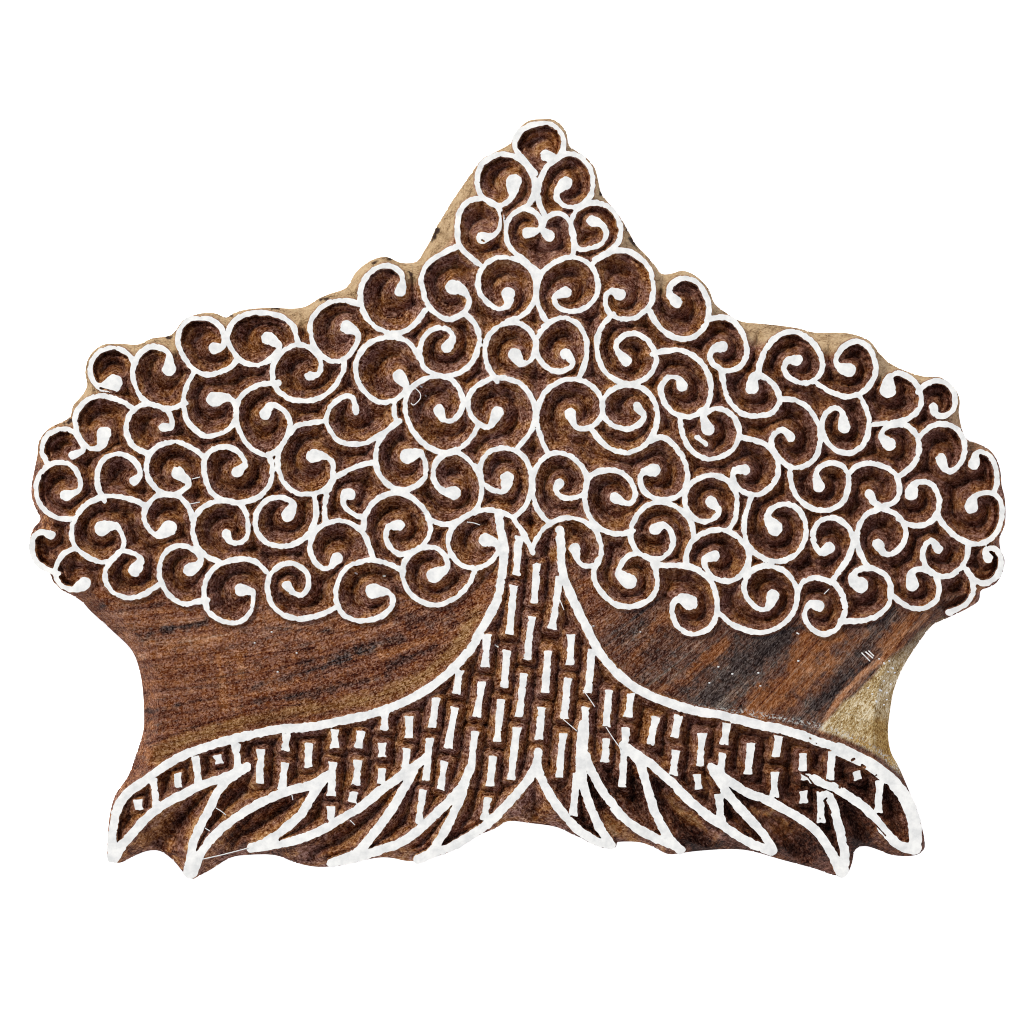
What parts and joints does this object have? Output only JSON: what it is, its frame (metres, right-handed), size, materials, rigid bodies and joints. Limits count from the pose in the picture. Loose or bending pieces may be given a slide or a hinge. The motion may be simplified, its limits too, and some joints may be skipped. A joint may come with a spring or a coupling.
{
  "type": "wooden textile printing block",
  "caption": "Hand-carved wooden block for printing cloth, cut to the outline of a scrolling tree, with raised lines whose flat tops carry a white coat and a narrow waist on each side.",
  "frame": {"origin": "middle of the block's back face, at the bottom centre of its box", "axes": "+X to the viewer's right along the longest side, +Y towards the crown of the tree, +Z out of the printing face"},
  "size_m": [0.1469, 0.1144, 0.025],
  "materials": {
    "carved_wood": "bare oiled heartwood, gouge-cut and matt",
    "white_coat": "thin matt white paint, slightly chipped at the edges"
  },
  "bodies": {
    "root": {"block_body": "carved_wood", "crown_relief": "carved_wood", "left_shoulder_relief": "carved_wood", "left_wing_relief": "carved_wood", "left_heart_relief": "carved_wood", "centre_relief": "carved_wood", "right_heart_relief": "carved_wood", "right_shoulder_relief": "carved_wood", "right_wing_relief": "carved_wood", "trunk_line_relief": "carved_wood", "left_root_relief": "carved_wood", "right_root_relief": "carved_wood", "bark_dash_relief": "carved_wood", "crown_coat": "white_coat", "left_shoulder_coat": "white_coat", "left_wing_coat": "white_coat", "left_heart_coat": "white_coat", "centre_coat": "white_coat", "right_heart_coat": "white_coat", "right_shoulder_coat": "white_coat", "right_wing_coat": "white_coat", "trunk_line_coat": "white_coat", "left_root_coat": "white_coat", "right_root_coat": "white_coat", "bark_dash_coat": "white_coat"}
  },
  "joints": []
}
